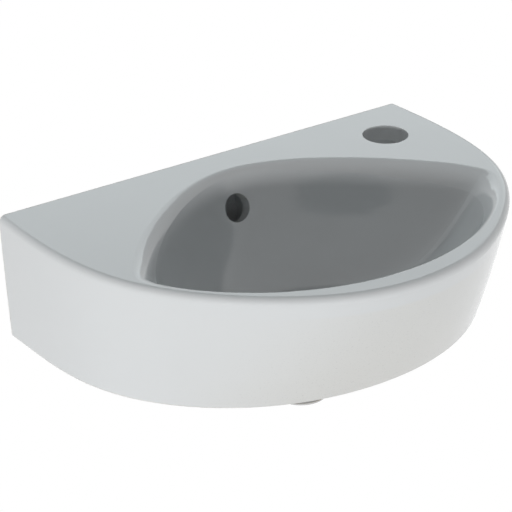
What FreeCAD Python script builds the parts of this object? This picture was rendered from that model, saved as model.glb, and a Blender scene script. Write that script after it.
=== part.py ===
import FreeCAD, Part
import os
import Sketcher

from FreeCAD import Placement, Rotation, Vector

# A small wall-hung hand-rinse basin of glazed ceramic, with its two wall fixings and its
# push-open waste. Millimetres, +Z up. The origin lies on the wall face, midway between the
# two fixing bolts: +Y points into the wall and the bowl stands out towards -Y.

doc = FreeCAD.newDocument("hand_basin")
sheet = doc.addObject("Spreadsheet::Sheet", "Dimensions")

# Heights named "..._depth" are counted down from the rim, and "front" and "back" from the wall.
DIMENSIONS = {
    "ceramic shell": {
        "rim_height": 50.0,
        "half_width": 180.0,
        "front_depth": 260.0,
        "skirt_height": 98.4,
        "foot_half_width": 172.8,
        "foot_front": 214.7,
        "skirt_bulge": 0.4,
        "rim_edge_radius": 5.0,
        "foot_edge_radius": 2.0,
        "deck_thickness": 12.0,
        "panel_thickness": 12.0,
        "skirt_thickness": 9.0,
        "hollow_top_inset": 34.0,
    },
    "control points of the half outlines, after the back corner and before the nose": {
        "rim_side_across": 195.8,
        "rim_side_out": 173.8,
        "rim_shoulder_across": 148.2,
        "rim_shoulder_out": 154.8,
        "rim_nose_across": 107.0,
        "foot_side_across": 175.1,
        "foot_side_out": 96.7,
        "foot_shoulder_across": 179.1,
        "foot_shoulder_out": 113.2,
        "foot_nose_across": 128.3,
    },
    "bowl": {
        "lip_half_width": 156.0,
        "lip_front": 239.5,
        "lip_back": 26.5,
        "edge_half_width": 147.0,
        "edge_front": 237.2,
        "edge_back": 31.0,
        "wall_half_width": 137.0,
        "wall_front": 236.6,
        "wall_back": 32.5,
        "belly_half_width": 119.0,
        "belly_front": 228.0,
        "belly_back": 43.0,
        "floor_half_width": 96.0,
        "floor_front": 192.0,
        "floor_back": 60.0,
        "corner_out": 143.0,
        "belly_corner_out": 140.0,
        "floor_corner_out": 130.0,
        "corner_lip_depth": 13.0,
        "front_lip_depth": 2.5,
        "back_lip_depth": 5.0,
        "belly_depth": 40.0,
        "bowl_depth": 84.0,
        "bowl_flat_radius": 34.5,
        "bowl_wall": 9.0,
    },
    "outlet": {
        "outlet_out": 120.0,
        "outlet_recess_radius": 33.0,
        "outlet_recess_depth": 87.0,
        "outlet_bore_radius": 23.0,
        "boss_radius": 32.0,
        "boss_depth": 120.0,
    },
    "overflow": {
        "overflow_hole_radius": 10.8,
        "overflow_tilt": 20.0,
        "overflow_start_out": 46.0,
        "overflow_start_depth": 24.7,
        "overflow_reach": 24.0,
        "duct_half_width": 14.0,
        "duct_wall": 7.0,
    },
    "tap hole": {
        "tap_hole_radius": 17.5,
        "tap_hole_across": 134.3,
        "tap_hole_out": 44.9,
    },
    "wall fixings": {
        "fixing_spacing": 180.0,
        "fixing_hole_radius": 7.0,
        "bolt_radius": 5.0,
        "bolt_thread_radius": 4.8,
        "bolt_taper": 2.0,
        "bolt_in_wall": 62.0,
        "bolt_point_length": 9.0,
        "bolt_in_basin": 32.0,
        "bolt_chamfer": 1.0,
        "bush_start": 0.5,
        "bush_radius": 6.8,
        "bush_flange_radius": 14.0,
        "bush_flange_thickness": 3.0,
        "washer_radius": 10.5,
        "washer_thickness": 2.0,
        "nut_across_flats": 17.0,
        "nut_height": 8.0,
        "thread_play": 0.05,
    },
    "waste": {
        "flange_radius": 31.5,
        "flange_thickness": 2.2,
        "flange_seal_thickness": 1.0,
        "throat_radius": 20.2,
        "seat_radius": 17.6,
        "seat_drop": 5.0,
        "shank_radius": 20.2,
        "tail_thread_radius": 20.955,
        "tail_thread_gap": 0.5,
        "tail_bore_radius": 17.6,
        "tail_chamfer": 1.0,
        "tail_end_depth": 147.0,
        "window_width": 14.0,
        "window_height": 8.0,
        "window_depth": 105.0,
        "lower_seal_radius": 29.0,
        "lower_seal_height": 3.5,
        "lower_seal_taper": 2.5,
        "slip_washer_thickness": 1.5,
        "back_nut_across_flats": 50.0,
        "back_nut_height": 9.0,
        "bridge_depth": 127.0,
        "bridge_height": 5.0,
        "bridge_arm_width": 3.2,
        "bridge_hub_radius": 7.0,
        "bridge_thread_radius": 4.0,
    },
    "push-open plug": {
        "plug_travel": 9.0,
        "plug_foot_depth": 89.0,
        "plug_spigot_height": 2.6,
        "plug_spigot_radius": 14.0,
        "plug_radius": 18.2,
        "plug_thickness": 1.8,
        "plug_crown": 1.6,
        "plug_seal_radius": 17.9,
        "plug_seal_foot_radius": 17.2,
        "stem_radius": 2.6,
        "stem_foot_radius": 4.7,
        "stem_foot_height": 2.0,
        "stem_nut_across_flats": 9.0,
        "stem_nut_height": 4.0,
        "housing_radius": 6.6,
        "housing_bore_radius": 5.2,
        "housing_height": 24.0,
        "housing_floor": 2.0,
        "housing_lid_height": 2.5,
        "sliding_play": 0.4,
        "latch_ring_radius": 4.8,
        "latch_ring_height": 2.4,
        "latch_notch_width": 1.0,
        "latch_notch_depth": 0.8,
        "spring_radius": 3.9,
        "spring_wire_radius": 0.45,
        "spring_turns": 5.0,
    },
}


def fill_sheet():
    """Write the driving dimensions into the spreadsheet, one alias to a row."""
    row = 1
    for group, values in DIMENSIONS.items():
        sheet.set(f"A{row}", group)
        row += 1
        for alias, value in values.items():
            sheet.set(f"A{row}", alias.replace("_", " "))
            sheet.set(f"B{row}", str(value))
            sheet.setAlias(f"B{row}", alias)
            row += 1
    doc.recompute()


fill_sheet()


def size(alias):
    """A driving dimension, read back from the sheet."""
    return float(sheet.get(alias))


def spelled(formula):
    """A formula on the sheet's aliases, written as <alias>, as an expression of the document."""
    return formula.replace("<", "Dimensions.").replace(">", "")


def bind(thing, prop, formula):
    thing.setExpression(prop, spelled(formula))


def value_of(formula):
    return float(sheet.evalExpression(spelled(formula)))


def place(thing, across="0", out="0", up="0", turn=None):
    """Bind a piece's place to the sheet, and turn it about its own origin."""
    if turn:
        thing.Placement = Placement(Vector(), turn)
    for axis, formula in (("x", across), ("y", f"-({out})"), ("z", up)):
        bind(thing, f"Placement.Base.{axis}", f"({formula}) * 1 mm")


# The two fixings stand square to the wall, with their own height counted out from it.
OUT_OF_WALL = Rotation(Vector(1, 0, 0), 90)
SIDES = (("left", "-<fixing_spacing> / 2"), ("right", "<fixing_spacing> / 2"))


# Small helpers for solids whose sizes follow the sheet

def cylinder(name, radius, height, **where):
    rod = doc.addObject("Part::Cylinder", name)
    bind(rod, "Radius", radius)
    bind(rod, "Height", height)
    place(rod, **where)
    return rod


def box(name, wide, deep, high, **where):
    block = doc.addObject("Part::Box", name)
    bind(block, "Length", wide)
    bind(block, "Width", deep)
    bind(block, "Height", high)
    place(block, **where)
    return block


def cut(name, base, tool):
    result = doc.addObject("Part::Cut", name)
    result.Base = base
    result.Tool = tool
    return result


def fuse(name, *pieces):
    result = doc.addObject("Part::MultiFuse", name)
    result.Shapes = list(pieces)
    return result


def common(name, *pieces):
    result = doc.addObject("Part::MultiCommon", name)
    result.Shapes = list(pieces)
    return result


def turned(name, corners, **where):
    """A turned body: corners are (radius, height) formulas on the sheet, taken in order."""
    body = doc.addObject("PartDesign::Body", name)
    plane = next(item for item in body.Origin.OriginFeatures if item.Role == "XZ_Plane")
    sketch = body.newObject("Sketcher::SketchObject", name + "_profile")
    sketch.AttachmentSupport = [(plane, "")]
    sketch.MapMode = "FlatFace"
    points = [Vector(value_of(radius), value_of(height), 0) for radius, height in corners]
    count = len(points)
    for number in range(count):
        sketch.addGeometry(Part.LineSegment(points[number], points[(number + 1) % count]), False)
    for number in range(count):
        following = (number + 1) % count
        sketch.addConstraint(Sketcher.Constraint("Coincident", number, 2, following, 1))
    for number, corner in enumerate(corners):
        for kind, letter, formula, value in (
            ("DistanceX", "r", corner[0], points[number].x),
            ("DistanceY", "z", corner[1], points[number].y),
        ):
            sketch.addConstraint(Sketcher.Constraint(kind, -1, 1, number, 1, value))
            label = f"{letter}{number}"
            sketch.renameConstraint(sketch.ConstraintCount - 1, label)
            bind(sketch, f"Constraints.{label}", f"({formula}) * 1 mm")
    revolution = body.newObject("PartDesign::Revolution", name + "_turn")
    revolution.Profile = sketch
    revolution.ReferenceAxis = (sketch, ["V_Axis"])
    revolution.Angle = 360
    body.Tip = revolution
    place(body, **where)
    return body


# The ceramic is free-form: its skirt and bowl are patches between rows of control points.
# A row starts at the side and ends at the middle line, and its mirror image closes it.

def row_at(points, heights):
    """Put the plan points (across, out) of a row at its height or heights."""
    if not isinstance(heights, (list, tuple)):
        heights = [heights] * len(points)
    return [Vector(across, -out, up) for (across, out), up in zip(points, heights)]


def mirrored(row):
    return [Vector(-point.x, point.y, point.z) for point in row]


def patch(rows):
    surface = Part.BezierSurface()
    surface.increase(len(rows[0]) - 1, len(rows) - 1)
    for down, row in enumerate(rows, 1):
        for along, point in enumerate(row, 1):
            surface.setPole(along, down, point)
    return surface.toShape()


def patch_pair(rows):
    return [patch(rows), patch([mirrored(row) for row in rows])]


def edge(row):
    curve = Part.BezierCurve()
    curve.setPoles(row)
    return curve.toShape()


def flat_face(*edges):
    return Part.Face(Part.Wire(Part.sortEdges(list(edges))[0]))


def closed_solid(faces):
    shell = Part.makeShell(faces)
    shell.sewShape()
    solid = Part.Solid(shell)
    if solid.Volume < 0:
        solid.reverse()
    return solid


def feature(name, shape):
    thing = doc.addObject("Part::Feature", name)
    thing.Shape = shape
    return thing


def toward(start, end, share):
    return [a + (b - a) * share for a, b in zip(start, end)]


def rim_outline():
    return [
        (size("half_width"), 0),
        (size("rim_side_across"), size("rim_side_out")),
        (size("rim_shoulder_across"), size("rim_shoulder_out")),
        (size("rim_nose_across"), size("front_depth")),
        (0, size("front_depth")),
    ]


def foot_outline():
    return [
        (size("foot_half_width"), 0),
        (size("foot_side_across"), size("foot_side_out")),
        (size("foot_shoulder_across"), size("foot_shoulder_out")),
        (size("foot_nose_across"), size("foot_front")),
        (0, size("foot_front")),
    ]


def block_between(rows):
    """A solid with a straight back: rows of half outlines from its top to its foot."""
    faces = patch_pair(rows)
    sides = [edge([row[0] for row in rows]), edge([mirrored(row)[0] for row in rows])]
    backs = []
    for row in (rows[0], rows[-1]):
        back = Part.makeLine(row[0], mirrored(row)[0])
        backs.append(back)
        faces.append(flat_face(edge(row), edge(mirrored(row)), back))
    faces.append(flat_face(*sides, *backs))
    return closed_solid(faces)


def skirt_block():
    """The outer form: a D in plan that draws in towards its foot."""
    rim, foot = rim_outline(), foot_outline()
    rim_height, foot_height = size("rim_height"), size("rim_height") - size("skirt_height")
    waist = [toward(upper, lower, size("skirt_bulge")) for upper, lower in zip(rim, foot)]
    block = block_between([
        row_at(rim, rim_height),
        row_at(waist, (rim_height + foot_height) / 2),
        row_at(foot, foot_height),
    ])
    for height, radius in (
        (rim_height, size("rim_edge_radius")),
        (foot_height, size("foot_edge_radius")),
    ):
        curved = [
            item for item in block.Edges
            if level(item) == round(height, 3) and item.BoundBox.YMin < -1
        ]
        block = block.makeFillet(radius, curved)
    return block


def level(item):
    """The height of a level edge or face, or None where it isn't level."""
    limits = item.BoundBox
    if limits.ZMax - limits.ZMin > 0.01:
        return None
    return round(limits.ZMin, 3)


def quarter(half_width, corner_out, middle_out, corner_pull, middle_pull):
    """Plan points of a quarter of an oval, from its side corner to the middle line."""
    return [
        (half_width, corner_out),
        (half_width, corner_out + (middle_out - corner_out) * corner_pull),
        (half_width * middle_pull, middle_out),
        (0, middle_out),
    ]


CIRCLE = 0.5523      # pull of the control points that makes a quarter circle
LIP_FRONT = (0.22, 0.61)
SHARP_FRONT = (0.26, 0.635)
SHARP_BACK = (0.19, 0.44)
SOFT_FRONT = (0.4, 0.58)
SOFT_BACK = (0.3, 0.48)


def bowl_ring(name, corner, pulls, depths):
    """One ring of control points: its front quarter row and its back quarter row."""
    rim = size("rim_height")
    corner_depth, front_depth, back_depth = depths
    half_width = size(f"{name}_half_width")
    rows = []
    for middle, pull, depth in (
        (size(f"{name}_front"), pulls[0], front_depth),
        (size(f"{name}_back"), pulls[1], back_depth),
    ):
        heights = [rim - corner_depth, rim - corner_depth, rim - depth, rim - depth]
        rows.append(row_at(quarter(half_width, size(corner), middle, *pull), heights))
    return rows


def outlet_ring(radius, depth):
    centre = size("outlet_out")
    up = size("rim_height") - depth
    return [
        row_at(quarter(radius, centre, centre + reach, CIRCLE, CIRCLE), up)
        for reach in (radius, -radius)
    ]


def ring_edges(ring):
    return [edge(row) for half in ring for row in (half, mirrored(half))]


def bowl_faces():
    """The rounded lip, the bowl under it and its flat ring round the outlet recess."""
    sharp = (SHARP_FRONT, SHARP_BACK)
    lip_depths = (size("corner_lip_depth"), size("front_lip_depth"), size("back_lip_depth"))
    lip = bowl_ring("lip", "corner_out", (LIP_FRONT, SHARP_BACK), (0, 0, 0))
    brow = bowl_ring("edge", "corner_out", sharp, (0, 0, 0))
    wall = bowl_ring("wall", "corner_out", sharp, lip_depths)
    belly_depths = [size("belly_depth")] * 3
    belly = bowl_ring("belly", "belly_corner_out", (SOFT_FRONT, SOFT_BACK), belly_depths)
    floor_depths = [size("bowl_depth")] * 3
    round_pulls = ((CIRCLE, CIRCLE), (CIRCLE, CIRCLE))
    floor = bowl_ring("floor", "floor_corner_out", round_pulls, floor_depths)
    outlet = outlet_ring(size("bowl_flat_radius"), size("bowl_depth"))
    faces = []
    for half in (0, 1):
        faces += patch_pair([lip[half], brow[half], wall[half]])
        faces += patch_pair([wall[half], belly[half], floor[half], outlet[half]])
    faces.append(flat_face(*ring_edges(outlet)))
    return faces, ring_edges(lip)


def basin_shell():
    """The outer form with its deck opened and the bowl sewn in."""
    block = skirt_block()
    deck = next(face for face in block.Faces if level(face) == round(size("rim_height"), 3))
    bowl, lip_edges = bowl_faces()
    opening = Part.Wire(Part.sortEdges(lip_edges)[0])
    open_deck = Part.Face(deck.OuterWire).cut(Part.Face(opening)).Faces[0]
    others = [face for face in block.Faces if not face.isSame(deck)]
    return closed_solid(others + [open_deck] + bowl)


# Under the deck: a hollow behind the skirt, the outside of the bowl, the outlet boss and the
# rib that holds the overflow duct

def hollow_block():
    """The space under the deck, open at the foot and drawn in to its top at the front."""
    panel = size("panel_thickness")
    rim_height = size("rim_height")

    def inset(outline, side, front):
        across_share = 1 - side / outline[0][0]
        reach = outline[-1][1]
        out_share = (reach - front - panel) / reach
        return [(across * across_share, panel + out * out_share) for across, out in outline]

    top = inset(rim_outline(), size("panel_thickness"), size("hollow_top_inset"))
    foot = inset(foot_outline(), size("skirt_thickness"), size("skirt_thickness"))
    foot_height = rim_height - size("skirt_height")
    return block_between([
        row_at(top, rim_height - size("deck_thickness")),
        row_at(foot, foot_height),
        row_at(foot, foot_height - size("foot_edge_radius")),
    ])


def grown_ring(name, corner, pulls, depth, growth):
    """A bowl ring moved outwards, for the outside of the bowl's wall."""
    up = size("rim_height") - depth
    half_width = size(f"{name}_half_width") + growth
    corner_out = size(corner)
    return [
        row_at(quarter(half_width, corner_out, size(f"{name}_front") + growth, *pulls[0]), up),
        row_at(quarter(half_width, corner_out, size(f"{name}_back") - growth, *pulls[1]), up),
    ]


def bowl_outside():
    wall = size("bowl_wall")
    start_depth = size("deck_thickness") / 2
    end_depth = size("bowl_depth") + wall
    round_pulls = ((CIRCLE, CIRCLE), (CIRCLE, CIRCLE))
    rings = [
        grown_ring("wall", "corner_out", (SHARP_FRONT, SHARP_BACK), start_depth, wall * 0.6),
        grown_ring("belly", "belly_corner_out", (SOFT_FRONT, SOFT_BACK),
                   size("belly_depth"), wall),
        grown_ring("floor", "floor_corner_out", round_pulls, end_depth, wall),
        outlet_ring(size("outlet_bore_radius") + wall / 2, end_depth),
    ]
    faces = []
    for half in (0, 1):
        faces += patch_pair([ring[half] for ring in rings])
    for ring in (rings[0], rings[-1]):
        faces.append(flat_face(*ring_edges(ring)))
    return closed_solid(faces)


# The duct runs behind the bowl, from the overflow hole down into the outlet's bore.
# Each point is (out from the wall, depth under the rim).
DUCT_BOWL_SIDE = [(24.5, 12), (31.5, 30), (41, 53), (52, 72.5), (66, 88), (84, 94.5), (100, 96)]
DUCT_WALL_SIDE = [(100, 110), (84, 108), (56, 99), (38, 82), (24, 56), (17.5, 34), (17.5, 12)]
RIB_BOWL_SIDE = [(32, 7), (39, 30), (47, 50), (58, 70), (70, 84), (94, 91)]
RIB_WALL_SIDE = [(94, 117), (82, 115.5), (52, 105.5), (31.5, 86), (17, 58), (11, 44), (11, 7)]


def prism(points, half_width):
    rim = size("rim_height")
    corners = [Vector(-half_width, -out, rim - depth) for out, depth in points]
    face = Part.Face(Part.makePolygon(corners + corners[:1]))
    return face.extrude(Vector(2 * half_width, 0, 0))


def basin_body():
    """The one-piece ceramic: skirt, deck, bowl, wall panel, outlet boss and overflow duct."""
    duct_half_width = size("duct_half_width")
    rib_outline = RIB_BOWL_SIDE + RIB_WALL_SIDE
    rib = feature("duct_rib", prism(rib_outline, duct_half_width + size("duct_wall")))
    boss = cylinder("outlet_boss", "<boss_radius>", "<boss_depth> - <bowl_depth> - <bowl_wall> / 2",
                    out="<outlet_out>", up="<rim_height> - <boss_depth>")
    bulk = fuse("bowl_bulk", feature("bowl_outside", bowl_outside()), boss, rib)
    hollow = cut("hollow", feature("hollow_block", hollow_block()), bulk)
    hollowed = cut("hollowed_shell", feature("shell", basin_shell()), hollow)
    body = fuse("raw_body", hollowed, boss, rib)

    duct = feature("duct", prism(DUCT_BOWL_SIDE + DUCT_WALL_SIDE, duct_half_width))
    tilt = size("overflow_tilt")
    overflow = cylinder("overflow_hole", "<overflow_hole_radius>", "<overflow_reach>",
                        out="<overflow_start_out>", up="<rim_height> - <overflow_start_depth>",
                        turn=Rotation(Vector(1, 0, 0), -90 - tilt))
    recess = cylinder("outlet_recess", "<outlet_recess_radius>",
                      "<outlet_recess_depth> - <bowl_depth> + 1",
                      out="<outlet_out>", up="<rim_height> - <outlet_recess_depth>")
    bore = cylinder("outlet_bore", "<outlet_bore_radius>", "<boss_depth> - <bowl_depth> + 2",
                    out="<outlet_out>", up="<rim_height> - <boss_depth> - 1")
    tap = cylinder("tap_hole", "<tap_hole_radius>", "<deck_thickness> + 2",
                   across="<tap_hole_across>", out="<tap_hole_out>",
                   up="<rim_height> - <deck_thickness> - 1")
    openings = [duct, overflow, recess, bore, tap]
    for side, across in SIDES:
        openings.append(cylinder(
            f"fixing_hole_{side}", "<fixing_hole_radius>", "<panel_thickness> + 2",
            across=across, out="-1", turn=OUT_OF_WALL))
    return cut("basin_body", body, fuse("openings", *openings))


# The two wall fixings: a hanger bolt in the wall, a plastic bush, a washer and a nut

BUSH_FLANGE_OUT = "(<panel_thickness> + <bush_flange_thickness>)"
WASHER_OUT = f"({BUSH_FLANGE_OUT} + <washer_thickness>)"
ON_BOLT = "(<bolt_thread_radius> + <thread_play>)"


def hanger_bolt(side, across):
    """The bolt: a screw point in the wall plug, and a thread that the basin hangs on."""
    total = "(<bolt_in_wall> + <bolt_in_basin>)"
    return turned(f"hanger_bolt_{side}", [
        ("0", "0"),
        ("<bolt_radius> * 0.3", "<bolt_point_length> * 0.1"),
        ("<bolt_radius>", "<bolt_point_length>"),
        ("<bolt_radius>", "<bolt_in_wall> - <bolt_taper>"),
        ("<bolt_thread_radius>", "<bolt_in_wall>"),
        ("<bolt_thread_radius>", f"{total} - <bolt_chamfer>"),
        ("<bolt_thread_radius> - <bolt_chamfer>", total),
        ("0", total),
    ], across=across, out="-<bolt_in_wall>", turn=OUT_OF_WALL)


def fixing_bush(side, across):
    """The flanged bush that keeps the steel off the glaze."""
    return turned(f"fixing_bush_{side}", [
        (ON_BOLT, "<bush_start>"),
        ("<bush_radius>", "<bush_start>"),
        ("<bush_radius>", "<panel_thickness>"),
        ("<bush_flange_radius>", "<panel_thickness>"),
        ("<bush_flange_radius>", BUSH_FLANGE_OUT),
        (ON_BOLT, BUSH_FLANGE_OUT),
    ], across=across, turn=OUT_OF_WALL)


def fixing_washer(side, across):
    return turned(f"fixing_washer_{side}", [
        (ON_BOLT, "0"),
        ("<washer_radius>", "0"),
        ("<washer_radius>", "<washer_thickness>"),
        (ON_BOLT, "<washer_thickness>"),
    ], across=across, out=BUSH_FLANGE_OUT, turn=OUT_OF_WALL)


def fixing_nut(side, across):
    return hexagon_nut(f"fixing_nut_{side}", "<nut_across_flats>", "<nut_height>", ON_BOLT,
                       across=across, out=WASHER_OUT, turn=OUT_OF_WALL)


def hexagon_nut(name, across_flats, height, hole_radius, **where):
    """A hexagon nut: a prism with its corners turned off at both faces, and its hole."""
    face_radius = f"({across_flats} * 0.485)"
    outer_radius = f"({across_flats} * 0.59)"
    chamfer = f"({across_flats} * 0.06)"
    hexagon = doc.addObject("Part::Prism", name + "_hexagon")
    hexagon.Polygon = 6
    bind(hexagon, "Circumradius", f"{across_flats} / sqrt(3)")
    bind(hexagon, "Height", height)
    place(hexagon, **where)
    barrel = turned(name + "_barrel", [
        (hole_radius, "0"),
        (face_radius, "0"),
        (outer_radius, chamfer),
        (outer_radius, f"{height} - {chamfer}"),
        (face_radius, height),
        (hole_radius, height),
    ], **where)
    return common(name, hexagon, barrel)


# The waste stands on the outlet's axis. Its pieces are placed by their depth under the rim.

FLANGE_FOOT = "(<outlet_recess_depth> - <flange_seal_thickness>)"
WASHER_TOP = "(<boss_depth> + <lower_seal_height>)"
NUT_TOP = f"({WASHER_TOP} + <slip_washer_thickness>)"
HUB_TOP = "(<bridge_depth> - <bridge_height>)"
SPRING_FOOT = f"({HUB_TOP} - <housing_floor>)"
HOUSING_TOP = f"({HUB_TOP} - <housing_height>)"
LATCH_RING_FOOT = f"({HOUSING_TOP} + <sliding_play> + <latch_ring_height>)"
STEM_FOOT = f"({LATCH_RING_FOOT} + <sliding_play> / 2 + <stem_foot_height> + <plug_travel>)"
NUT_FOOT = f"({NUT_TOP} + <back_nut_height>)"
ON_SHANK = "(<shank_radius> + <thread_play>)"
ROUND_THREAD = "(<tail_thread_radius> + <sliding_play>)"
ON_STEM = "(<stem_radius> + <thread_play>)"
ROUND_STEM = "(<stem_radius> + <sliding_play>)"


def at_outlet(depth):
    return {"out": "<outlet_out>", "up": f"<rim_height> - ({depth})"}


def spoke(name, deep, high, depth, inner, reach, angle):
    """A radial bar about the outlet's axis, from an inner radius outwards."""
    turn = Rotation(Vector(0, 0, 1), angle)
    along = turn.multVec(Vector(1, 0, 0))
    across = f"({inner}) * {along.x:.6f} + ({deep}) / 2 * {along.y:.6f}"
    out = f"<outlet_out> - ({inner}) * {along.y:.6f} + ({deep}) / 2 * {along.x:.6f}"
    return box(name, reach, deep, high, across=across, out=out,
               up=f"<rim_height> - ({depth})", turn=turn)


def waste_body():
    """The chromed tube: a dished flange, four overflow windows, a bridge, and a thread below.

    Inside the back nut the tube is as thin as where the two threads meet.
    """
    thread_top = f"(<tail_end_depth> - {NUT_FOOT} - <tail_thread_gap>)"
    shoulder = f"(<tail_end_depth> - {FLANGE_FOOT})"
    top = f"({shoulder} + <flange_thickness>)"
    tube = turned("waste_tube", [
        ("<tail_bore_radius>", "0"),
        ("<tail_thread_radius> - <tail_chamfer>", "0"),
        ("<tail_thread_radius>", "<tail_chamfer>"),
        ("<tail_thread_radius>", thread_top),
        ("<shank_radius>", thread_top),
        ("<shank_radius>", shoulder),
        ("<flange_radius>", shoulder),
        ("<flange_radius>", f"{shoulder} + <flange_thickness> / 2"),
        ("<flange_radius> - 1.5", top),
        ("<throat_radius>", top),
        ("<seat_radius>", f"{top} - <seat_drop>"),
    ], **at_outlet("<tail_end_depth>"))
    window_foot = "<window_depth> + <window_height> / 2"
    windows = [
        spoke(f"waste_window_{number + 1}", "<window_width>", "<window_height>", window_foot,
              "<tail_bore_radius> / 2", "<shank_radius>", 90 * number)
        for number in range(4)
    ]
    arms = [
        spoke(f"bridge_arm_{number + 1}", "<bridge_arm_width>", "<bridge_height>",
              "<bridge_depth>", "0", "<tail_bore_radius> + 1", 90 + 120 * number)
        for number in range(3)
    ]
    hub = cylinder("bridge_hub", "<bridge_hub_radius>", "<bridge_height>",
                   **at_outlet("<bridge_depth>"))
    hole = cylinder("bridge_hole", "<bridge_thread_radius>", "<bridge_height> + 2",
                    **at_outlet("<bridge_depth> + 1"))
    return cut("waste_body", fuse("waste_blank", tube, hub, *arms),
               fuse("waste_openings", hole, *windows))


def flange_seal():
    return turned("flange_seal", [
        (ROUND_THREAD, "0"),
        ("<flange_radius>", "0"),
        ("<flange_radius>", "<flange_seal_thickness>"),
        (ROUND_THREAD, "<flange_seal_thickness>"),
    ], **at_outlet("<outlet_recess_depth>"))


def lower_seal():
    """The seal under the boss, with a taper that centres the tube in the outlet's bore."""
    return turned("lower_seal", [
        (ON_SHANK, "0"),
        ("<lower_seal_radius>", "0"),
        ("<lower_seal_radius>", "<lower_seal_height>"),
        ("<outlet_bore_radius> - 0.2", "<lower_seal_height>"),
        ("<outlet_bore_radius> - 0.8", "<lower_seal_height> + <lower_seal_taper>"),
        (ON_SHANK, "<lower_seal_height> + <lower_seal_taper>"),
    ], **at_outlet(WASHER_TOP))


def slip_washer():
    return turned("slip_washer", [
        (ROUND_THREAD, "0"),
        ("<lower_seal_radius>", "0"),
        ("<lower_seal_radius>", "<slip_washer_thickness>"),
        (ROUND_THREAD, "<slip_washer_thickness>"),
    ], **at_outlet(NUT_TOP))


def back_nut():
    return hexagon_nut("back_nut", "<back_nut_across_flats>", "<back_nut_height>", ON_SHANK,
                       **at_outlet(NUT_FOOT))


def cartridge_housing():
    """The latch's housing, screwed into the bridge by the stud at its foot."""
    stud_radius = "(<bridge_thread_radius> - <thread_play>)"
    floor = "(<bridge_height> + <housing_floor>)"
    top = "(<bridge_height> + <housing_height>)"
    return turned("cartridge_housing", [
        ("0", "0"),
        (stud_radius, "0"),
        (stud_radius, "<bridge_height>"),
        ("<housing_radius>", "<bridge_height>"),
        ("<housing_radius>", top),
        ("<housing_bore_radius>", top),
        ("<housing_bore_radius>", floor),
        ("0", floor),
    ], **at_outlet("<bridge_depth>"))


def cartridge_lid():
    return turned("cartridge_lid", [
        (ROUND_STEM, "0"),
        ("<housing_radius>", "0"),
        ("<housing_radius>", "<housing_lid_height> - 0.6"),
        ("<housing_radius> - 0.6", "<housing_lid_height>"),
        (ROUND_STEM, "<housing_lid_height>"),
    ], **at_outlet(HOUSING_TOP))


def latch_ring():
    """The ring that turns by one of its eight notches at each push of the plug."""
    ring = turned("latch_ring_blank", [
        (ROUND_STEM, "0"),
        ("<latch_ring_radius>", "0"),
        ("<latch_ring_radius>", "<latch_ring_height>"),
        (ROUND_STEM, "<latch_ring_height>"),
    ], **at_outlet(LATCH_RING_FOOT))
    notches = [
        spoke(f"latch_notch_{number + 1}", "<latch_notch_width>", "<latch_ring_height> / 2",
              f"{LATCH_RING_FOOT} + 0.5", "<latch_ring_radius> - <latch_notch_depth>",
              "<latch_notch_depth> + 1", 45 * number)
        for number in range(8)
    ]
    return cut("latch_ring", ring, fuse("latch_notches", *notches))


def lift_spring():
    """The coil that lifts the plug, drawn short as it is while the plug is latched down."""
    wire, radius = size("spring_wire_radius"), size("spring_radius")
    height = value_of(f"{SPRING_FOOT} - {STEM_FOOT}") - 0.1 - 2 * wire
    helix = Part.makeHelix(height / size("spring_turns"), height, radius)
    section = Part.Wire(Part.makeCircle(wire, Vector(radius, 0, 0), Vector(0, 1, 0)))
    spring = feature("lift_spring", Part.Wire(helix.Edges).makePipeShell([section], True, True))
    place(spring, **at_outlet(f"{SPRING_FOOT} - <spring_wire_radius>"))
    return spring


def plug_cap():
    """The domed cap, with a spigot under it that carries the seal and takes the stem."""
    rim = "(<plug_spigot_height> + <plug_thickness>)"
    hole_top = "(<plug_spigot_height> + <plug_thickness> / 2)"
    return turned("plug_cap", [
        (ON_STEM, "0"),
        ("<plug_spigot_radius>", "0"),
        ("<plug_spigot_radius>", "<plug_spigot_height>"),
        ("<plug_radius>", "<plug_spigot_height>"),
        ("<plug_radius>", rim),
        ("<plug_radius> * 0.97", f"{rim} + <plug_crown> * 0.3"),
        ("<plug_radius> * 0.85", f"{rim} + <plug_crown> * 0.6"),
        ("<plug_radius> * 0.6", f"{rim} + <plug_crown> * 0.85"),
        ("<plug_radius> * 0.3", f"{rim} + <plug_crown> * 0.97"),
        ("0", f"{rim} + <plug_crown>"),
        ("0", hole_top),
        (ON_STEM, hole_top),
    ], **at_outlet("<plug_foot_depth>"))


def plug_seal():
    return turned("plug_seal", [
        ("<plug_spigot_radius>", "0"),
        ("<plug_seal_foot_radius>", "0"),
        ("<plug_seal_radius>", "<plug_spigot_height> / 2"),
        ("<plug_seal_radius>", "<plug_spigot_height>"),
        ("<plug_spigot_radius>", "<plug_spigot_height>"),
    ], **at_outlet("<plug_foot_depth>"))


def plug_stem():
    """The stem, from the foot that the spring presses on to its thread in the cap."""
    top = f"({STEM_FOOT} - <plug_foot_depth> + <plug_spigot_height>)"
    return turned("plug_stem", [
        ("0", "0"),
        ("<stem_foot_radius>", "0"),
        ("<stem_foot_radius>", "<stem_foot_height>"),
        ("<stem_radius>", "<stem_foot_height>"),
        ("<stem_radius>", top),
        ("0", top),
    ], **at_outlet(STEM_FOOT))


def stem_nut():
    return hexagon_nut("stem_nut", "<stem_nut_across_flats>", "<stem_nut_height>", ON_STEM,
                       **at_outlet("<plug_foot_depth> + <stem_nut_height>"))


def all_pieces():
    pieces = [basin_body()]
    for side, across in SIDES:
        for make in (hanger_bolt, fixing_bush, fixing_washer, fixing_nut):
            pieces.append(make(side, across))
    for make in (
        waste_body, flange_seal, lower_seal, slip_washer, back_nut,
        cartridge_housing, cartridge_lid, latch_ring, lift_spring,
        plug_cap, plug_seal, plug_stem, stem_nut,
    ):
        pieces.append(make())
    return pieces


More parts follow.
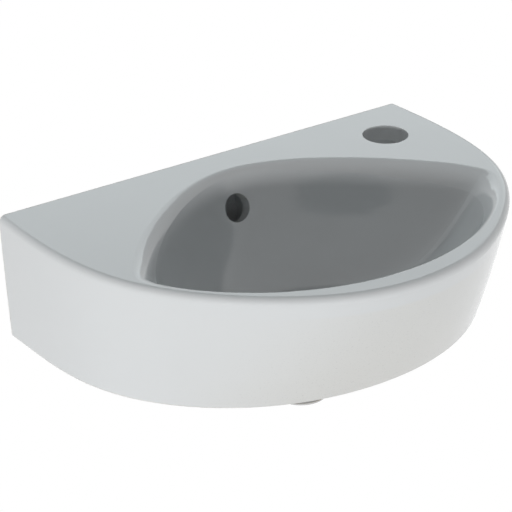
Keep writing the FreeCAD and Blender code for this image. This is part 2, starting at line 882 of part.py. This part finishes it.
def write_pieces(pieces):
    """Check every object of the document, then write one file for each piece."""
    doc.recompute()
    for thing in doc.Objects:
        faults = {"Invalid", "Error"} & set(thing.State)
        if faults:
            raise RuntimeError(f"{thing.Name} failed: {faults}")
    for piece in pieces:
        if piece.Shape.isNull() or not piece.Shape.isValid():
            raise RuntimeError(f"{piece.Name} has no valid shape")
        if len(piece.Shape.Solids) != 1:
            raise RuntimeError(f"{piece.Name} isn't one solid")
        piece.Label = piece.Name
    os.makedirs("parts", exist_ok=True)
    for piece in pieces:
        piece.Shape.exportStep(f"parts/{piece.Label}.step")
        print(f"{piece.Label}: {piece.Shape.Volume:.1f} mm3")


write_pieces(all_pieces())
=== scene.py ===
import math

import bpy
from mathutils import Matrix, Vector


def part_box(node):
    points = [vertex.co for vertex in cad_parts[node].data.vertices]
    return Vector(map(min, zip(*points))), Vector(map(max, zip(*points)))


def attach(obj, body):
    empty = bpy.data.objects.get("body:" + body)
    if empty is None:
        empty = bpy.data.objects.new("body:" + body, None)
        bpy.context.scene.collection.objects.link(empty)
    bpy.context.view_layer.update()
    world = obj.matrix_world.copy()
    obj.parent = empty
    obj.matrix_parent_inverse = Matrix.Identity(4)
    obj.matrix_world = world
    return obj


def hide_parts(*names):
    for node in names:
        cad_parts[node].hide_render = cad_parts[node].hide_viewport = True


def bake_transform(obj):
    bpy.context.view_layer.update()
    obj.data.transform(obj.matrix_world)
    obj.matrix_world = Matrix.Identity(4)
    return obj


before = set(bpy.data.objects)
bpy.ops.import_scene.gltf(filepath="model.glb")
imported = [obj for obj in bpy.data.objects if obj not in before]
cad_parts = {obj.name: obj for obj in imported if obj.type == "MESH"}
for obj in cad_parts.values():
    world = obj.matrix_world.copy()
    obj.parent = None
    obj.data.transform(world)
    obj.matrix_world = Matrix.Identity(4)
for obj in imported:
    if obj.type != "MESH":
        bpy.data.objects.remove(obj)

scene = bpy.context.scene
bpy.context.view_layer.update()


# The view: a long lens in front of the basin's left side and above it, level across, looking
# down into the bowl. The light is a plain white studio: two soft lamps behind, the lower of which
# the deck mirrors, three low wide ones round the front, and a floor as far down as a basin hangs.

EYE = Vector((-1.1482, -1.6629, 0.9395))
LENS = 208.26
FAR_ENOUGH = 100
LOOK_DOWN = math.radians(25.68)
LOOK_RIGHT = math.radians(35.68)
RIM = 0.050
FLOOR_BELOW_RIM = 0.85
FLOOR_SIZE = 14
FLOOR_GREY = 0.62
AIR_GLOW = 0.15

camera = bpy.data.objects.new("camera", bpy.data.cameras.new("camera"))
scene.collection.objects.link(camera)
camera.data.lens = LENS
camera.data.clip_end = FAR_ENOUGH
camera.location = EYE
camera.rotation_euler = (math.pi / 2 - LOOK_DOWN, 0, -LOOK_RIGHT)
scene.camera = camera
scene.view_settings.view_transform = "Standard"


class Finish:
    """A material, or the world's light. Its node() adds any node and gives the node's output."""

    def __init__(self, name, tree=None):
        if tree is None:
            self.material = bpy.data.materials.new(name)
            self.material.use_nodes = True
            tree = self.material.node_tree
        self.tree = tree

    def node(self, kind, settings=None, out=0, **sockets):
        """Add a node: its settings, and the value or wire of each socket, by name or as i0, i1."""
        made = self.tree.nodes.new(kind)
        for name, value in (settings or {}).items():
            setattr(made, name, value)
        for name, value in sockets.items():
            numbered = name[0] == "i" and name[1:].isdigit()
            self.feed(made.inputs[int(name[1:]) if numbered else name.replace("_", " ")], value)
        return Wire(self, made.outputs[out])

    def feed(self, socket, value):
        if isinstance(value, Wire):
            self.tree.links.new(value.socket, socket)
        else:
            socket.default_value = value

    def coat(self, **sockets):
        """Set the sockets of the material's own shader."""
        for name, value in sockets.items():
            self.feed(self.tree.nodes["Principled BSDF"].inputs[name.replace("_", " ")], value)

    def outputs(self, kind, **sockets):
        """Add a node, and give all its outputs by name."""
        made = self.node(kind, **sockets).socket.node
        return {socket.name: Wire(self, socket) for socket in made.outputs}

    def place(self):
        """The point in the object's own space, in metres."""
        if "place" not in self.tree.nodes:
            self.node("ShaderNodeTexCoord", {"name": "place"})
        return Wire(self, self.tree.nodes["place"].outputs["Object"])

    def split(self, vector):
        """The x, y and z of a vector."""
        return self.outputs("ShaderNodeSeparateXYZ", i0=vector).values()

    def noise(self, scale, detail, distortion=0.0):
        """Cloudy noise in the object's own space, so many clouds to the metre."""
        return self.node("ShaderNodeTexNoise", Vector=self.place(), Scale=scale, Detail=detail,
                         Distortion=distortion)

    def cells(self, scale, out):
        """Cells, so many to the metre: the distance to the nearest's middle, or its colour."""
        return self.node("ShaderNodeTexVoronoi", Vector=self.place(), Scale=scale, out=out)

    def mix(self, share, first, second):
        """One colour where share is 0, and the other where it is 1."""
        first, second = [(*c, 1) if isinstance(c, tuple) else c for c in (first, second)]
        return self.node("ShaderNodeMix", {"data_type": "RGBA"}, out=2,
                         i0=share, i6=first, i7=second)

    def bump(self, height, strength):
        """The normal of a surface with this relief, in metres."""
        return self.node("ShaderNodeBump", Height=height * 1000, Distance=0.001, Strength=strength)


class Wire:
    """A node's output. Sums, differences and products of wires add the Math nodes they need."""

    def __init__(self, finish, socket):
        self.finish, self.socket = finish, socket

    def math(self, operation, first, second=0.0):
        return self.finish.node("ShaderNodeMath", {"operation": operation}, i0=first, i1=second)

    def __add__(self, other):
        return self.math("ADD", self, other)

    def __radd__(self, other):
        return self.math("ADD", other, self)

    def __sub__(self, other):
        return self.math("SUBTRACT", self, other)

    def __rsub__(self, other):
        return self.math("SUBTRACT", other, self)

    def __mul__(self, other):
        return self.math("MULTIPLY", self, other)

    def __rmul__(self, other):
        return self.math("MULTIPLY", other, self)

    def root(self):
        return self.math("SQRT", self)

    def zigzag(self, top):
        """Up and down between 0 and top."""
        return self.math("PINGPONG", self, top)

    def step(self, low, high):
        """0 below low, 1 above high, smooth in between."""
        return self.finish.node("ShaderNodeMapRange", {"interpolation_type": "SMOOTHSTEP"},
                                i0=self, i1=low, i2=high)


def seen_as_white(finish):
    """1 for the rays that look at the background, straight or in a reflection."""
    path = finish.outputs("ShaderNodeLightPath")
    seen = path["Is Camera Ray"] + path["Is Glossy Ray"] + path["Is Transmission Ray"]
    return seen.step(0.0, 0.5)


studio = bpy.data.worlds.new("studio")
studio.use_nodes = True
scene.world = studio
air = Finish("air", studio.node_tree)
backdrop = studio.node_tree.nodes["Background"]
air.feed(backdrop.inputs["Color"], (1, 1, 1, 1))
air.feed(backdrop.inputs["Strength"], seen_as_white(air) * (1 - AIR_GLOW) + AIR_GLOW)


def soft_lamp(name, place, toward, width, height, watts, colour=(1, 1, 1), mirrored=False):
    """A wide lamp that faces a point. The glaze mirrors it only where mirrored is true."""
    light = bpy.data.lights.new(name, "AREA")
    light.shape, light.size, light.size_y = "RECTANGLE", width, height
    light.energy, light.color = watts, colour
    lamp = bpy.data.objects.new(name, light)
    scene.collection.objects.link(lamp)
    lamp.location = place
    lamp.rotation_euler = (Vector(toward) - Vector(place)).to_track_quat("-Z", "Y").to_euler()
    lamp.visible_glossy = mirrored


soft_lamp("back_window", (1.37, 1.77, 1.19), (0, -0.12, 0.05), 2.2, 1.1, 9.5, (0.90, 0.98, 1.0),
          mirrored=True)
soft_lamp("high_window", (0.30, 1.60, 1.90), (0, -0.12, 0.05), 1.3, 1.0, 16, (0.88, 0.97, 1.0))
soft_lamp("low_front", (-1.75, -2.0, 0.06), (0, -0.12, 0), 1.8, 0.4, 31)
soft_lamp("low_left", (-2.6, 0.10, 0.0), (0, -0.12, 0), 1.4, 0.4, 20)
soft_lamp("low_right", (1.6, -2.1, 0.06), (0, -0.12, 0), 1.6, 0.4, 21)

# The floor catches the light as a grey one, is white where it is looked at, and from below clear.
bpy.ops.object.select_all(action="DESELECT")
bpy.ops.mesh.primitive_plane_add(size=FLOOR_SIZE, location=(0, 0, RIM - FLOOR_BELOW_RIM))
floor = bpy.context.object
floor.name = "floor"
pale = Finish("pale_floor")
pale.coat(Base_Color=(FLOOR_GREY, FLOOR_GREY, FLOOR_GREY, 1), Roughness=0.9)
grey_shader = Wire(pale, pale.tree.nodes["Principled BSDF"].outputs[0])
white_shader = pale.node("ShaderNodeEmission", i0=(1, 1, 1, 1))
clear_shader = pale.node("ShaderNodeBsdfTransparent")
from_above = pale.node("ShaderNodeMixShader", i0=seen_as_white(pale),
                       i1=grey_shader, i2=white_shader)
from_below = pale.node("ShaderNodeNewGeometry", out="Backfacing")
seen = pale.node("ShaderNodeMixShader", i0=from_below, i1=from_above, i2=clear_shader)
pale.feed(pale.tree.nodes["Material Output"].inputs["Surface"], seen)
floor.data.materials.append(pale.material)


# The basin: one casting of vitreous china, slip-cast in a plaster mould and glazed white all over
# but where it stood in the kiln and was ground flat, on its back and along its lower edge. The
# hollow underneath is only sprayed, so the glaze there is thin, dull and creamy.

OUTLET = Vector((0, -0.12, 0))
FOOT = -0.048
DECK_UNDERSIDE = 0.035
GLAZE_WHITE = (0.690, 0.708, 0.716)
THIN_GLAZE = (0.690, 0.688, 0.664)
BISQUE = (0.640, 0.605, 0.540)


def dress(name, finish):
    """Give a CAD node its finish."""
    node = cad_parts[name]
    node.data.materials.clear()
    node.data.materials.append(finish.material)


def darker(colour, share):
    return tuple(part * share for part in colour)


china = Finish("glazed_china")
x, y, z = china.split(china.place())
facing_up = list(china.split(china.node("ShaderNodeNewGeometry", out="Normal")))[2]
above_foot = z - FOOT

ground_back = y.step(-0.0006, -0.0001)
at_foot = (0 - above_foot).step(-0.0007, -0.0003) * above_foot.step(-0.0006, -0.0003)
ground_foot = at_foot * (0 - facing_up).step(0.985, 0.998)
ground = (ground_back + ground_foot).step(0.0, 1.0)
in_hollow = (0 - facing_up).step(0.15, 0.55) * (DECK_UNDERSIDE - z).step(0.0, 0.004)
rough_places = (ground + in_hollow * 0.35).step(0.0, 1.0)

wet_pool = china.noise(9.0, 2.0)
speck = china.noise(900.0, 1.0)
white = china.mix(wet_pool.step(0.35, 0.70), GLAZE_WHITE, darker(GLAZE_WHITE, 0.985))
thin = china.mix(speck.step(0.62, 0.74), THIN_GLAZE, darker(THIN_GLAZE, 0.86))
clay = china.mix(speck.step(0.40, 0.65), BISQUE, darker(BISQUE, 0.84))

slow_wave = china.noise(16.0, 1.0)
orange_peel = china.noise(260.0, 1.5)
grit = china.noise(1600.0, 3.0)
pits = (0.10 - china.cells(60.0, "Distance")).step(0.0, 0.10) * in_hollow
skin = slow_wave * 0.00040 + orange_peel * 0.000010 - pits * 0.00012

china.coat(Base_Color=china.mix(ground, china.mix(in_hollow, white, thin), clay),
           Roughness=0.055 + wet_pool * 0.03 + in_hollow * 0.22 + ground * 0.72,
           Normal=china.bump(skin + grit * rough_places * 0.00010, 0.8), IOR=1.50)
dress("basin_body", china)


# The two wall fixings. Each is a zinc-plated M10 hanger bolt with a wood-screw thread that goes
# into a wall plug, and a machine thread that the basin hangs on. A white nylon bush keeps the
# steel off the china, and a washer and a hexagon nut draw the basin against the wall.

ZINC, YELLOWED_ZINC = (0.430, 0.445, 0.460), (0.500, 0.470, 0.390)
NYLON, AGED_NYLON = (0.740, 0.735, 0.700), (0.690, 0.682, 0.640)
BOLT_PLACES = {"left": -0.09, "right": 0.09}
BOLT_SIDES = 32
WOOD_TIP, WOOD_END, WALL_FACE, NUT_THREAD_FROM, BOLT_END = 0.009, 0.050, 0.062, 0.0625, 0.094
WOOD_CORE, WOOD_CREST, WOOD_PITCH = 0.0035, 0.0050, 0.0036
NUT_CORE, NUT_CREST, NUT_PITCH = 0.0040, 0.0048, 0.0015
SUNK = 0.0001
WELD = 0.000001

zinc = Finish("zinc_plated_steel")
cloud = zinc.noise(120.0, 3.0)
tint = zinc.mix(cloud.step(0.35, 0.65), ZINC, YELLOWED_ZINC)
zinc.coat(Base_Color=zinc.mix(0.18, tint, zinc.cells(700.0, "Color")), Metallic=1.0,
          Roughness=0.32 + cloud * 0.20, Normal=zinc.bump(cloud * 0.00006, 0.5))

nylon = Finish("white_nylon")
flow = nylon.noise(90.0, 2.0, 0.6)
nylon.coat(Base_Color=nylon.mix(flow.step(0.3, 0.7), NYLON, AGED_NYLON),
           Roughness=0.42 + flow * 0.12, Normal=nylon.bump(nylon.noise(2600.0, 1.0) * 0.00002, 0.6),
           Subsurface_Weight=0.08)

for side in BOLT_PLACES:
    dress(f"fixing_bush_{side}", nylon)
    dress(f"fixing_washer_{side}", zinc)
    dress(f"fixing_nut_{side}", zinc)


def select_only(*pieces):
    """Select these pieces and nothing else, with the first one active."""
    bpy.ops.object.select_all(action="DESELECT")
    for piece in pieces:
        piece.select_set(True)
    bpy.context.view_layer.objects.active = pieces[0]


def stand(piece, along, base):
    """Turn a piece from +Z to its own axis, put it in place, and bake both into its mesh."""
    piece.rotation_euler = Vector(along).to_track_quat("Z", "Y").to_euler()
    piece.location = base
    select_only(piece)
    bpy.ops.object.transform_apply(location=True, rotation=True, scale=True)


def turned(name, rings, sides, along, base):
    """A piece turned on a lathe: rings of (how far along, radius), each extruded from the last.

    The first ring is at 0. The piece is hollow where the last ring is the first one again.
    """
    hollow = rings[0] == rings[-1]
    bpy.ops.object.select_all(action="DESELECT")
    bpy.ops.mesh.primitive_circle_add(vertices=sides, radius=rings[0][1],
                                      fill_type="NOTHING" if hollow else "NGON")
    piece = bpy.context.object
    piece.name = name
    bpy.ops.object.mode_set(mode="EDIT")
    bpy.ops.mesh.select_all(action="SELECT")
    for (here, wide), (after, narrow) in zip(rings, rings[1:]):
        bpy.ops.mesh.extrude_region_move(TRANSFORM_OT_translate={"value": (0, 0, after - here)})
        bpy.ops.transform.resize(value=(narrow / wide, narrow / wide, 1),
                                 center_override=(0, 0, after))
    bpy.ops.mesh.select_all(action="SELECT")
    bpy.ops.mesh.remove_doubles(threshold=WELD)
    bpy.ops.mesh.normals_make_consistent(inside=False)
    bpy.ops.object.mode_set(mode="OBJECT")
    stand(piece, along, base)
    return piece


def screwed(piece, turns, pitch, sides):
    """Screw the active outline round the Z axis, and close the shape at both ends."""
    screw = piece.modifiers.new("thread", "SCREW")
    screw.axis, screw.angle = "Z", math.tau * turns
    screw.screw_offset, screw.iterations = pitch * turns, 1
    screw.steps = screw.render_steps = sides * turns
    screw.use_merge_vertices = False
    bpy.ops.object.modifier_apply(modifier="thread")
    bpy.ops.object.mode_set(mode="EDIT")
    bpy.ops.mesh.select_mode(type="EDGE")
    bpy.ops.mesh.select_all(action="DESELECT")
    bpy.ops.mesh.select_non_manifold(extend=False, use_wire=True, use_boundary=True,
                                     use_multi_face=False, use_non_contiguous=False,
                                     use_verts=False)
    bpy.ops.mesh.edge_face_add()
    bpy.ops.mesh.select_all(action="SELECT")
    bpy.ops.mesh.normals_make_consistent(inside=False)
    bpy.ops.object.mode_set(mode="OBJECT")


def ridge(name, start, end, root, crest, pitch, flat, along, base, taper=0.0, sides=28):
    """A thread: one pitch of its profile, screwed along the axis, with a taper to a sharp tip."""
    bpy.ops.object.select_all(action="DESELECT")
    bpy.ops.mesh.primitive_plane_add(size=1)
    piece = bpy.context.object
    piece.name = name
    half = (pitch - flat) / 2
    low, high = start + half * 0.1, start + pitch - half * 0.1
    corners = [(root, low), (root, high), (crest, start + half + flat), (crest, start + half)]
    for index, (far, up) in zip(piece.data.polygons[0].vertices, corners):
        piece.data.vertices[index].co = (far, 0, up)
    bpy.ops.object.mode_set(mode="EDIT")
    bpy.ops.mesh.select_all(action="SELECT")
    bpy.ops.mesh.delete(type="ONLY_FACE")
    bpy.ops.object.mode_set(mode="OBJECT")
    screwed(piece, max(1, int((end - start) / pitch) - 1), pitch, sides)
    if taper:
        tip = root * 0.2
        for vertex in piece.data.vertices:
            from_tip = min(1.0, (vertex.co.z - start) / taper)
            wide = math.hypot(vertex.co.x, vertex.co.y)
            vertex.co.xy *= (tip + (wide - tip) * from_tip) / wide
    stand(piece, along, base)
    return piece


def one_piece(name, finish, *pieces):
    """Join pieces that are one in the real object, in one finish."""
    select_only(*pieces)
    if len(pieces) > 1:
        bpy.ops.object.join()
    pieces[0].name = name
    pieces[0].data.materials.clear()
    pieces[0].data.materials.append(finish.material)
    bpy.ops.object.shade_smooth_by_angle(angle=math.radians(32))
    return pieces[0]


def copied(piece, name, shift):
    """Another of the same piece, with a mesh of its own, moved by shift."""
    another = piece.copy()
    another.data = piece.data.copy()
    another.name, another.location = name, shift
    scene.collection.objects.link(another)
    select_only(another)
    bpy.ops.object.transform_apply(location=True, rotation=False, scale=False)
    return another


out_of_wall, tip = (0, -1, 0), (BOLT_PLACES["left"], WALL_FACE, 0)
core = turned("core", [(0, 0.0002), (0.0012, 0.0010), (WOOD_TIP, WOOD_CORE),
                       (WOOD_END, WOOD_CORE), (WOOD_END + 0.002, NUT_CREST),
                       (WALL_FACE, NUT_CREST), (WALL_FACE + 0.0015, NUT_CORE),
                       (BOLT_END - 0.0015, NUT_CORE), (BOLT_END, NUT_CORE * 0.9)],
              BOLT_SIDES, out_of_wall, tip)
wood_thread = ridge("wood", 0.0008, WOOD_END, WOOD_CORE - SUNK, WOOD_CREST, WOOD_PITCH, 0.0003,
                    out_of_wall, tip, taper=0.010)
nut_thread = ridge("machine", NUT_THREAD_FROM, BOLT_END + 0.0005, NUT_CORE - SUNK, NUT_CREST,
                   NUT_PITCH, 0.0003, out_of_wall, tip)
left_bolt = one_piece("hanger_bolt_left_threaded", zinc, core, wood_thread, nut_thread)
right_bolt = copied(left_bolt, "hanger_bolt_right_threaded",
                    (BOLT_PLACES["right"] - BOLT_PLACES["left"], 0, 0))
for side, bolt in (("left", left_bolt), ("right", right_bolt)):
    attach(bolt, "basin")
    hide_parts(f"hanger_bolt_{side}")


# The waste: a turned brass body that hangs by its flange, bright chrome in the bowl and duller
# below. Its middle, which the china and the nut hide, is the CAD node's own; the flange is turned
# finer, and the tail that shows under the nut has its G 1 1/4 pipe thread.

CHROME, DULL_CHROME = (0.640, 0.650, 0.665), (0.560, 0.560, 0.555)
FLANGE_SIDES, TAIL_SIDES, THREAD_SIDES = 128, 96, 72
PIPE_PITCH, PIPE_CREST, PIPE_ROOT, PIPE_BORE = 0.00231, 0.020955, 0.0196, 0.0176
TAIL_END, THREAD_SHOWS_BELOW = -0.097, -0.0836
SEAT_FOOT, FLANGE_UNDERSIDE, FLANGE_TOP = -0.0388, 0.0028, 0.0050
FLANGE_NECK, FLANGE_RADIUS = 0.0202, 0.0315
UP = (0, 0, 1)

plated = Finish("chrome_plated_brass")
x, y, z = plated.split(plated.place())
haze = plated.noise(70.0, 4.0)
below = (0 - z).step(0.0385, 0.0400)
plated.coat(Base_Color=plated.mix(below, CHROME, DULL_CHROME), Metallic=1.0,
            Roughness=0.05 + haze * 0.05 + below * 0.16,
            Normal=plated.bump(plated.noise(900.0, 2.0) * 0.000004, 0.9))
dress("waste_body", plated)


def rounding(foot, rise, middle, wide, arc, count):
    """Rings that rise from foot as an arc does, from straight up towards level."""
    turns = [arc * step / (count - 1) for step in range(count)]
    return [(foot + rise * math.sin(turn), middle + wide * math.cos(turn)) for turn in turns]


upper = copied(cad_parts["waste_body"], "upper", (0, 0, 0))
bpy.ops.object.mode_set(mode="EDIT")
bpy.ops.mesh.select_all(action="SELECT")
bpy.ops.mesh.remove_doubles(threshold=WELD)
bpy.ops.mesh.bisect(plane_co=(0, 0, THREAD_SHOWS_BELOW), plane_no=UP, clear_inner=True,
                    use_fill=True)
bpy.ops.mesh.select_all(action="SELECT")
bpy.ops.mesh.bisect(plane_co=(0, 0, SEAT_FOOT), plane_no=UP, clear_outer=True, use_fill=True)
bpy.ops.object.mode_set(mode="OBJECT")

flange = turned("flange", [(0, PIPE_BORE), (0, FLANGE_NECK), (FLANGE_UNDERSIDE, FLANGE_NECK),
                           (FLANGE_UNDERSIDE, FLANGE_RADIUS),
                           *rounding(0.0039, 0.0011, 0.0300, 0.0015, math.pi / 2, 7),
                           (FLANGE_TOP, 0.0208), (0.0049, 0.0204), (0.0045, 0.0200),
                           (0, PIPE_BORE)],
                FLANGE_SIDES, UP, (OUTLET.x, OUTLET.y, SEAT_FOOT))
tail_base = (OUTLET.x, OUTLET.y, TAIL_END)
shown = THREAD_SHOWS_BELOW - TAIL_END
tail = turned("tail", [(0, PIPE_BORE), (0, PIPE_ROOT - 0.0003), (0.0006, PIPE_ROOT),
                       (shown, PIPE_ROOT), (shown, PIPE_BORE), (0, PIPE_BORE)],
              TAIL_SIDES, UP, tail_base)
pipe_thread = ridge("pipe", 0.0004, shown, PIPE_ROOT - SUNK, PIPE_CREST, PIPE_PITCH, 0.0004,
                    UP, tail_base, sides=THREAD_SIDES)
waste = one_piece("waste_body_threaded", plated, upper, flange, tail, pipe_thread)
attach(waste, "basin")
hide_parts("waste_body")


# The plug: a domed brass cap plated like the flange, on a bare brass stem with a nut. The nut
# that clamps the waste is of the same bare brass.

WIPED_CHROME = (0.600, 0.612, 0.630)
BRASS, TARNISHED_BRASS = (0.640, 0.470, 0.220), (0.420, 0.290, 0.130)
GROOVES = 2600.0
CAP_FOOT, CAP_NECK, CAP_RADIUS = -0.039, 0.0140, 0.0182
CAP_UNDERSIDE, CROWN_FOOT, CROWN = 0.0026, 0.0044, 0.0016
CROWN_ARC, CROWN_RINGS = math.pi * 5 / 11, 21

dome = Finish("polished_chrome")
haze = dome.noise(85.0, 5.0)
dome.coat(Base_Color=dome.mix(haze.step(0.35, 0.65), CHROME, WIPED_CHROME), Metallic=1.0,
          Roughness=0.045 + haze * 0.045,
          Normal=dome.bump(dome.noise(1400.0, 1.0) * 0.000003, 0.5))
dress("plug_cap", dome)

brass = Finish("turned_brass")
x, y, z = brass.split(brass.place())
tarnish = brass.noise(150.0, 4.0)
sideways, outward = x - OUTLET.x, y - OUTLET.y
from_axis = (sideways * sideways + outward * outward).root()
tool_marks = (from_axis * GROOVES + z * GROOVES).zigzag(0.5)
brass.coat(Base_Color=brass.mix(tarnish.step(0.35, 0.7), BRASS, TARNISHED_BRASS),
           Metallic=1.0, Roughness=0.20 + tarnish * 0.24,
           Normal=brass.bump(tool_marks * 0.00002 + tarnish * 0.00005, 0.6))
for piece in ("plug_stem", "stem_nut", "back_nut"):
    dress(piece, brass)

crown = rounding(CROWN_FOOT, CROWN, 0, CAP_RADIUS, CROWN_ARC, CROWN_RINGS)
cap = turned("cap", [(0, CAP_NECK), (CAP_UNDERSIDE, CAP_NECK), (CAP_UNDERSIDE, 0.0180),
                     (0.0028, CAP_RADIUS), *crown],
             FLANGE_SIDES, UP, (OUTLET.x, OUTLET.y, CAP_FOOT))
cap = one_piece("plug_cap_domed", dome, cap)
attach(cap, "plug")
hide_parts("plug_cap")


# The seals: moulded black rubber rings under the flange, over the back nut and round the plug.
# Between the lower one and the nut lies a white slip washer, so that the rubber doesn't twist.

RUBBER, BLOOMED_RUBBER = (0.018, 0.018, 0.019), (0.060, 0.060, 0.062)
WASHER_WHITE, WASHER_GREY = (0.700, 0.700, 0.680), (0.640, 0.645, 0.630)

rubber = Finish("black_rubber")
bloom = rubber.noise(110.0, 4.0)
rubber.coat(Base_Color=rubber.mix(bloom.step(0.4, 0.75), RUBBER, BLOOMED_RUBBER),
            Roughness=0.55 + bloom * 0.22,
            Normal=rubber.bump(rubber.noise(2400.0, 2.0) * 0.00006, 0.7))
for ring in ("flange_seal", "lower_seal", "plug_seal"):
    dress(ring, rubber)

slippery = Finish("slip_washer_plastic")
milky = slippery.noise(75.0, 2.0)
slippery.coat(Base_Color=slippery.mix(milky, WASHER_WHITE, WASHER_GREY),
              Roughness=0.34 + milky * 0.14,
              Normal=slippery.bump(slippery.noise(1800.0, 1.0) * 0.00002, 0.6))
dress("slip_washer", slippery)


# The click cartridge: a grey acetal housing with a lid, screwed into the bridge across the waste.
# Its latch ring turns an eighth of a turn as the plug goes down, and a steel spring lifts it.

ACETAL, PALE_ACETAL = (0.230, 0.240, 0.250), (0.280, 0.288, 0.296)
STEEL, BROWNED_STEEL = (0.470, 0.475, 0.480), (0.360, 0.355, 0.345)
COIL_RADIUS, WIRE_RADIUS, TURNS = 0.0039, 0.00045, 5
WIRE_SIDES, COIL_SIDES = 14, 36

acetal = Finish("grey_acetal")
flow = acetal.noise(160.0, 2.0, 0.8)
acetal.coat(Base_Color=acetal.mix(flow.step(0.3, 0.7), ACETAL, PALE_ACETAL),
            Roughness=0.38 + flow * 0.14,
            Normal=acetal.bump(acetal.noise(3200.0, 1.0) * 0.00002, 0.6))
for piece in ("cartridge_housing", "cartridge_lid", "latch_ring"):
    dress(piece, acetal)

wire = Finish("spring_wire")
drawn = wire.noise(800.0, 3.0)
wire.coat(Base_Color=wire.mix(drawn.step(0.35, 0.65), STEEL, BROWNED_STEEL), Metallic=1.0,
          Roughness=0.22 + drawn * 0.16, Normal=wire.bump(drawn * 0.00002, 0.5))
dress("lift_spring", wire)

spring_low, spring_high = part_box("lift_spring")
bpy.ops.object.select_all(action="DESELECT")
bpy.ops.mesh.primitive_circle_add(vertices=WIRE_SIDES, radius=WIRE_RADIUS)
spring = bpy.context.object
bpy.ops.object.mode_set(mode="EDIT")
bpy.ops.transform.rotate(value=math.pi / 2, orient_axis="X", center_override=(0, 0, 0))
bpy.ops.transform.translate(value=(COIL_RADIUS, 0, WIRE_RADIUS))
bpy.ops.object.mode_set(mode="OBJECT")
rise = spring_high[2] - spring_low[2] - 2 * WIRE_RADIUS
screwed(spring, TURNS, rise / TURNS, COIL_SIDES)
stand(spring, UP, (OUTLET.x, OUTLET.y, spring_low[2]))
one_piece("lift_spring_coil", wire, spring)
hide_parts("lift_spring")
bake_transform(spring)
